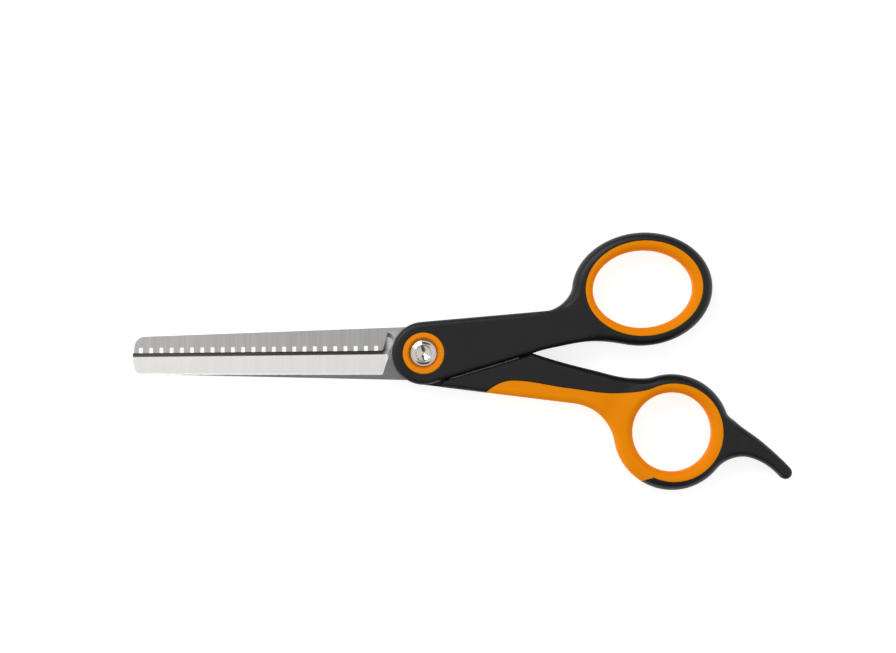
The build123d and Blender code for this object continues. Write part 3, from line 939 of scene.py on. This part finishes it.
@dataclass
class FingerHandle(Handles):
    """Finger handle with its finger rest, and the soft grip that runs under it into the ring.

    Attributes:
        ring: outside of the ring.
        seat: where the grip meets the ring.
        hole: inside of the grip.
        band: middle line of the ring's black shell.
        low_slope: slope of the shank's outer edge, in degrees.
        neck: X where that edge bends down to the ring.
        grip_start: X where the grip starts on that edge.
        grip_end: where the grip ends on the ring's outside.
        rest_tip: centre of the finger rest's round end.
        rest_radius: radius of that end.
        rest_thinning: how much thinner half the finger rest is at its tip.
        rest_rim: edge radius at its tip.
        nut_flats: distance across the flats of the nut's pocket.
        cuff: edge radius round the finger hole.
    """

    ring: Oval = Oval(63.9, -20.3, 14.9, 14.9)
    seat: Oval = Oval(64.35, -20.4, 12.65, 12.65)
    hole: Oval = Oval(63.9, -20.3, 10.2, 10.2)
    band: Oval = Oval(64.12, -20.35, 13.78, 13.78)
    low_slope: float = -7.0
    neck: float = 38.5
    grip_start: float = 16.1
    grip_end: tuple = (56.0, -32.85)
    rest_tip: tuple = (93.1, -30.7)
    rest_radius: float = 1.7
    rest_thinning: float = 1.0
    rest_rim: float = 1.35
    nut_flats: float = 7.1
    cuff: float = 2.1

    def half(self, points: np.ndarray) -> np.ndarray:
        """Half the thickness: dished outside the ring, and thinning towards the tip of the finger rest."""
        share = np.clip((points[..., 0] - 78.0) / 15.0, 0, 1)
        return self.dished(self.ring, points) - self.rest_thinning * share**2 * (3 - 2 * share)

    def nut_pocket(self, start: float, end: float, count: int) -> np.ndarray:
        """Points of the hexagonal pocket: its flats' distance over the cosine of the angle from them."""
        degrees = np.linspace(start, end, count, endpoint=False)
        return polar(self.nut_flats / 2 / np.cos(np.radians((degrees + 30) % 60 - 30)), degrees)

    def lines(self) -> dict[str, np.ndarray]:
        """The outer lines of the whole moulding.

        Returns:
            The points of each line by its name, counterclockwise from under the pivot.
        """
        hub = Oval(0, 0, self.hub, self.hub)
        low, high = 270 + self.low_slope, 90 - self.slope
        start = self.on_line(self.hub, self.low_slope, -1, self.grip_start)
        neck = self.on_line(self.hub, self.low_slope, -1, self.neck)
        bend = self.on_line(self.hub, self.low_slope, -1, 7.0)
        crotch = self.on_line(self.hub, -self.slope, 1, self.crotch)
        back = self.on_line(self.hub, -self.slope, 1, 7.0)
        tip_low, tip_high = polar(self.rest_radius, np.array([222.0, 400.0]), self.rest_tip)
        return {
            "base": straight(hub.at(low), bend, 24),
            "keel": straight(bend, start, 16),
            "belly": straight(start, neck, 44),
            "throat": curve([neck, (45.2, -15.7), self.ring.at(189)], self.low_slope, 279, 40),
            "cheek": self.ring.walk(189, 237.8, 40),
            "chin": self.ring.walk(237.8, 321, 52),
            "rest_low": curve([self.ring.at(321), (82.0, -26.6), (87.2, -28.15), tip_low], 51, -48, 60),
            "rest_end": arc(self.rest_tip, self.rest_radius, 222, 400, 24),
            "rest_high": curve(
                [tip_high, (90.9, -26.1), (86.8, -22.5), (80.6, -17.85), self.ring.at(20)], 130, 110, 60),
            "brow": self.ring.walk(20, 107, 60),
            "back": curve(
                [self.ring.at(107), (53.7, -6.42), (43.4, -4.3), crotch], 197, 178 - self.slope, 60),
            "lap": straight(crotch, back, 40),
            "heel": straight(back, hub.at(high), 24),
            "hub": hub.walk(high, low, 90),
        }

    def rims(self) -> dict[str, tuple[float, float]]:
        """Edge radius along each outer line.

        Returns:
            Its value at each line's start and end, by the line's name.
        """
        shank, ring, rest = self.shank_rim, self.ring_rim, self.rest_rim
        return {
            "base": (shank, shank), "keel": (shank, shank), "belly": (shank, 1.6), "throat": (1.6, ring),
            "cheek": (ring, ring), "chin": (ring, ring), "rest_low": (ring, rest), "rest_end": (rest, rest),
            "rest_high": (rest, ring), "brow": (ring, ring), "back": (ring, shank), "lap": (shank, shank),
            "heel": (shank, shank), "hub": (shank, shank),
        }

    def border(self) -> np.ndarray:
        """The line where black and orange meet.

        Returns:
            Its points, from the outer edge of the shank to the top of the ring.
        """
        start = self.on_line(self.hub, self.low_slope, -1, self.grip_start)
        return np.concatenate([
            curve([start, (18.7, -8.15), (22.9, -7.0)], 52, 0, 20),
            curve([(22.9, -7.0), (37.2, -8.95), (49.8, -10.25), self.seat.at(113)], 0, 23, 64),
            self.seat.at(np.array([113.0])),
        ])

    def hard(self) -> list[Stretch]:
        """The black part's plan.

        Returns:
            The stretches in order. Their inner line is the nut pocket and then a cut down the middle.
        """
        line, rim, seam = self.lines(), self.rims(), self.seam
        low, high, aim = 270 + self.low_slope, 90 - self.slope, 350.0
        shank = curve([
            self.nut_pocket(aim, aim, 1)[0], (8.5, -2.4), (14.0, -5.0), (21.0, -5.5), (31.0, -6.0),
            (42, -7.3), (52, -8.3), self.band.at(110),
        ], -20, 15, 100)
        shank = np.concatenate([shank, self.band.at(np.array([110.0]))])
        band = self.band.at(np.linspace(110, -118, 153))
        rest = curve([band[80], (84, -23.6), self.rest_tip], -5, -47, 40)
        rest = np.concatenate([rest, [self.rest_tip]])
        rest_low = np.concatenate([band[100:80:-1], rest[:-1]])
        rest_high = np.concatenate([rest[:0:-1], band[80:60:-1]])
        end, tip = np.repeat(band[-1:], 16, axis=0), np.repeat(rest[-1:], 24, axis=0)
        flat = (seam, seam)
        return [
            Stretch(line["base"], self.nut_pocket(low, aim, 24), rim["base"], seam),
            Stretch(line["keel"], shank[:16], (self.shank_rim, 0.4), 0.0, True),
            Stretch(self.border()[:20], shank[16:36], (0.4, seam), 0.0, True),
            Stretch(self.border()[20:-1], shank[36:-1], flat, 0.0, True),
            Stretch(self.seat.walk(113, -115, 152), band[:-1], flat, 0.0, True),
            Stretch(straight(self.seat.at(245), self.grip_end, 16), end, flat, 0.0, True),
            Stretch(line["chin"], band[:100:-1], rim["chin"], 0.0, True),
            Stretch(line["rest_low"], rest_low, rim["rest_low"], 0.0, True),
            Stretch(line["rest_end"], tip, rim["rest_end"], 0.0, True),
            Stretch(line["rest_high"], rest_high, rim["rest_high"], 0.0, True),
            Stretch(line["brow"], band[60:0:-1], rim["brow"], 0.0, True),
            Stretch(line["back"], shank[:40:-1], rim["back"], 0.0, True),
            Stretch(line["lap"], shank[40:0:-1], rim["lap"], 0.0, True),
            Stretch(line["heel"], self.nut_pocket(aim - 360, high, 24), rim["heel"], seam),
            Stretch(line["hub"], self.nut_pocket(high, low, 90), rim["hub"], seam),
        ]

    def soft(self) -> list[Stretch]:
        """The orange part's plan.

        Returns:
            The stretches in order. Their inner line is the finger hole and a cut out to the front tip.
        """
        line, rim, seam = self.lines(), self.rims(), self.seam
        gate, pull, ring = 163.0, self.cuff, self.ring_rim
        way = [line["belly"][0], (24, -9.1), (34, -10.3), (41, -11.2), (47, -12.9), self.hole.at(gate)]
        cut = curve(way, 15, -38, 68)
        cut = np.concatenate([cut, self.hole.at(np.array([gate]))])
        border = self.border()[::-1]
        flat = (seam, seam)
        return [
            Stretch(line["belly"], cut[:44], rim["belly"], 0.0, True),
            Stretch(line["throat"][:24], cut[44:-1], (1.6, 2.0), (0.0, pull), True),
            Stretch(line["throat"][24:], self.hole.walk(gate, 184, 16), (2.0, ring), pull),
            Stretch(line["cheek"][:28], self.hole.walk(184, 222, 28), (ring, ring), pull),
            Stretch(line["cheek"][28:], self.hole.walk(222, 240, 12), (ring, seam), pull),
            Stretch(straight(self.grip_end, self.seat.at(245), 16), self.hole.walk(240, 246, 16), flat, pull),
            Stretch(self.seat.walk(245, 473, 152), self.hole.walk(246, 474, 152), flat, pull),
            Stretch(border[:16], self.hole.walk(474, gate + 360, 16), flat, pull),
            Stretch(border[16:40], cut[:44:-1], flat, (pull, 0.0), True),
            Stretch(border[40:-1], cut[44:0:-1], flat, 0.0, True),
        ]

    def build(self, handle: bpy.types.Material, grip: bpy.types.Material) -> None:
        """Makes the handle and its grip.

        Args:
            handle: the handle's material.
            grip: the grip's material.
        """
        line, rim = self.lines(), self.rims()
        outline = np.concatenate(list(line.values()))
        radius = np.concatenate([np.linspace(*rim[name], len(line[name])) for name in line])
        nut = self.nut_pocket(0, 360, 120)
        hard = Plate(self.hard(), self.middle, self.half, [outline, nut], [radius, np.full(120, self.seam)])
        piece = hard.build("finger_handle_moulding", handle)
        self.lapped(piece, Side.FINGER)
        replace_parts(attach(piece, "finger_half"), "finger_handle")
        hole = self.hole.walk(0, 360, 240)
        soft = Plate(self.soft(), self.middle, self.half, [outline, hole], [radius, np.full(240, self.cuff)])
        piece = soft.build("finger_grip", grip)
        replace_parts(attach(piece, "finger_half"), "finger_handle_grip")
        log.info("finger handle and grip")


@dataclass
class TensionScrew:
    """The shoulder screw that sets the tension: head with a sloping ring round its hexagon socket with a
    coned bottom, shoulder and thread.

    Its surface is a profile of radius and height carried round the axis. On the socket's wall the radius
    is that of a hexagon: half the flats' distance over the cosine of the angle from the nearest flat.

    Attributes:
        head: radius of the head.
        top: height of its top.
        under: height of its underside.
        rim: edge radius of its outer edge.
        shelf: how far that edge lies below the top.
        shoulder: radius of the shoulder.
        shoulder_end: height that the shoulder ends at.
        thread: outer radius of the thread.
        thread_end: height of the screw's end.
        pitch: of the thread.
        depth: of the thread.
        flats: distance across the socket's flats.
        socket: its depth.
        cone: depth of the cone below it.
        lead: height of the chamfer at its mouth.
        turn: angle of the hexagon, in degrees.
        steps: angles that the profile is carried to.
    """

    head: float = 3.4
    top: float = 8.32
    under: float = 6.62
    rim: float = 0.38
    shelf: float = 0.34
    shoulder: float = 2.5
    shoulder_end: float = 2.46
    thread: float = 1.75
    thread_end: float = 0.6
    pitch: float = 0.5
    depth: float = 0.22
    flats: float = 3.6
    socket: float = 1.0
    cone: float = 0.9
    lead: float = 0.35
    turn: float = 11.0
    steps: int = 144

    def profile(self) -> list[tuple[float, float, bool]]:
        """The profile, from the socket's middle out over the head and down to the screw's end.

        Returns:
            Radius and height of each point, in mm, and whether it lies on the hexagon, where the radius is a
            share of the hexagon's own.
        """
        floor, lip = self.top - self.socket, self.flats / 2 / math.cos(math.pi / 6) + 0.04
        bend = np.radians(np.linspace(90, 0, 9))
        low = self.top - self.shelf
        rim = [(self.head - self.rim * (1 - math.cos(t)), low - self.rim * 0.5 * (1 - math.sin(t)), False)
               for t in bend]
        turns = np.arange(self.thread_end + 0.3, self.shoulder_end - 0.15, self.pitch / 2)[::-1]
        thread = [(self.thread - self.depth * (i % 2), z, False) for i, z in enumerate(turns)]
        return [
            (0.0, floor - self.cone, False), (0.5, floor - self.cone * 0.72, False),
            (self.flats / 2 - 0.06, floor - 0.03, False), (1.0, floor, True), (1.0, floor, True),
            (1.0, self.top - self.lead, True), (lip - 0.22, self.top - self.lead + 0.06, False),
            (lip, self.top - 0.03, False), (lip + 0.06, self.top, False), (lip + 0.16, self.top, False),
            (lip + 0.24, self.top - 0.02, False), (lip + 0.74, low + 0.03, False), (lip + 0.8, low, False),
            *rim,
            (self.head, self.under + 0.1, False), (self.head - 0.1, self.under, False),
            (self.shoulder, self.under, False), (self.shoulder, self.shoulder_end, False),
            (self.thread - 0.2, self.shoulder_end, False), *thread,
            (self.thread - 0.3, self.thread_end, False), (0.0, self.thread_end, False),
        ]

    def build(self, finish: bpy.types.Material) -> None:
        """Makes the screw.

        Args:
            finish: its material.
        """
        rows = self.profile()
        degrees = np.linspace(0, 360, self.steps, endpoint=False)
        hexagon = self.flats / 2 / np.cos(np.radians((degrees - self.turn) % 60 - 30))
        radius = np.array([hexagon * r if six else np.full(self.steps, r) for r, _, six in rows])
        height = np.array([z for _, z, _ in rows])
        piece = turned("tension_screw_nickel", height, radius, degrees, finish)
        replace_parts(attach(piece, "tension_screw"), "pivot_screw")
        log.info("tension screw")


@dataclass
class PivotCollar:
    """The coloured collar round the screw's head: rounded top edges over a bore that narrows downwards.

    Its surface is a closed profile of radius and height carried round the axis, with quarter circles at
    its two top edges.

    Attributes:
        outer: outer radius.
        bore: radius of the bore below its throat.
        mouth: radius of the bore at the top.
        low: height of the collar's underside.
        top: height of its top.
        throat: height that the bore is narrowest from.
        edge: radius of its two top edges.
        steps: angles that the profile is carried to.
    """

    outer: float = 5.35
    bore: float = 3.52
    mouth: float = 3.98
    low: float = 6.2
    top: float = 8.72
    throat: float = 7.5
    edge: float = 0.32
    steps: int = 128

    def build(self, finish: bpy.types.Material) -> None:
        """Makes the collar.

        Args:
            finish: its material.
        """
        bend = np.radians(np.linspace(0, 90, 6))
        edge, level = self.edge, self.top - self.edge
        outside = [(self.outer - edge + edge * math.cos(t), level + edge * math.sin(t)) for t in bend]
        inside = [(self.mouth + edge - edge * math.cos(t), level + edge * math.sin(t)) for t in bend[::-1]]
        rows = [(self.bore, self.low), (self.outer, self.low), *outside, *inside, (self.bore, self.throat)]
        degrees = np.linspace(0, 360, self.steps, endpoint=False)
        rows = np.array(rows)
        radius = rows[:, :1] + np.zeros(self.steps)
        piece = turned("pivot_collar_ring", rows[:, 1], radius, degrees, finish, closed=True)
        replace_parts(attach(piece, "thumb_half"), "pivot_collar")
        log.info("pivot collar")


@dataclass
class Studio:
    """Pale floor, a white tent of light with one lamp, and the camera straight above.

    Attributes:
        middle: the point that the camera looks at, in mm.
        reach: how wide the view is at that point, in mm.
        lens: focal length in mm.
        sky: brightness of the tent all round.
        hatch: brightness of the tent straight above, where the camera looks through it.
        ends: how bright the tent's ends toward +Y and -Y are beside its long sides.
        glow: brightness of the opal floor, which is lit from below.
        span: length of the floor's sides, in metres.
    """

    middle: tuple[float, float, float] = (6.285, 6.878, 5.0)
    reach: float = 230.8
    lens: float = 135.0
    sky: float = 0.75
    hatch: float = 0.6
    ends: float = 0.12
    glow: float = 0.78
    span: float = 8.0

    def floor(self) -> None:
        """Makes the floor: a large pale opal sheet, softly lit from below so that shadows stay faint."""
        mesh = bpy.data.meshes.new("floor")
        r = self.span / 2
        mesh.from_pydata([(-r, -r, 0), (r, -r, 0), (r, r, 0), (-r, r, 0)], [], [(0, 1, 2, 3)])
        plate = bpy.data.objects.new("floor", mesh)
        bpy.context.collection.objects.link(plate)
        paint = bpy.data.materials.new("floor_white")
        paint.use_nodes = True
        shader = paint.node_tree.nodes["Principled BSDF"]
        shader.inputs["Base Color"].default_value = linear("#B8B8B8")
        shader.inputs["Roughness"].default_value = 0.9
        shader.inputs["Emission Color"].default_value = linear("#FFFFFF")
        shader.inputs["Emission Strength"].default_value = self.glow
        mesh.materials.append(paint)

    def lamp(self, name: str, place: tuple, size: tuple, watts: float) -> None:
        """Makes a soft rectangular lamp that faces the pivot.

        Args:
            name: the lamp's name.
            place: its centre in metres.
            size: its width and height in metres.
            watts: its power.
        """
        data = bpy.data.lights.new(name, "AREA")
        data.shape = "RECTANGLE"
        data.size, data.size_y = size
        data.energy = watts
        lamp = bpy.data.objects.new(name, data)
        bpy.context.collection.objects.link(lamp)
        lamp.location = place
        away = -lamp.location
        lamp.rotation_euler = away.to_track_quat("-Z", "Y").to_euler()

    def build(self) -> None:
        """Makes the floor, the lights and the camera."""
        scene = bpy.context.scene
        scene.view_settings.view_transform = "Standard"
        self.floor()
        world = bpy.data.worlds.new("studio")
        world.use_nodes = True
        tree = world.node_tree
        _, side, up = add(tree, "SeparateXYZ", {0: add(tree, "TexCoord").outputs["Generated"]}).outputs
        top = add(tree, "MapRange", {0: up, 1: 0.80, 2: 0.98, 3: self.sky, 4: self.hatch},
                  interpolation_type="SMOOTHSTEP")
        away = add(tree, "Math", {0: side}, operation="ABSOLUTE")
        ends = add(tree, "MapRange", {0: away.outputs[0], 1: 0.5, 2: 0.74, 3: 1.0, 4: self.ends},
                   interpolation_type="SMOOTHSTEP")
        sky = add(tree, "Math", {0: top.outputs[0], 1: ends.outputs[0]}, operation="MULTIPLY")
        tree.links.new(sky.outputs[0], tree.nodes["Background"].inputs[1])
        tree.nodes["Background"].inputs[0].default_value = (1, 1, 1, 1)
        scene.world = world
        self.lamp("key", (-0.5, 0.7, 0.9), (0.8, 0.5), 5.6)
        data = bpy.data.cameras.new("camera")
        data.lens = self.lens
        camera = bpy.data.objects.new("camera", data)
        bpy.context.collection.objects.link(camera)
        back = self.reach / data.sensor_width * self.lens
        camera.location = [v * MM for v in (self.middle[0], self.middle[1], self.middle[2] + back)]
        data.clip_end = 20.0
        scene.camera = camera


def main() -> None:
    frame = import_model()
    finish = dress(frame)
    ThumbHandle().build(finish["thumb_handle"], finish["thumb_ring_grip"])
    FingerHandle().build(finish["finger_handle"], finish["finger_handle_grip"])
    TensionScrew().build(finish["pivot_screw"])
    PivotCollar().build(finish["pivot_collar"])
    Studio().build()
    log.info("sizes written")


if __name__ == "__main__":
    logging.basicConfig(level=logging.INFO)
    main()
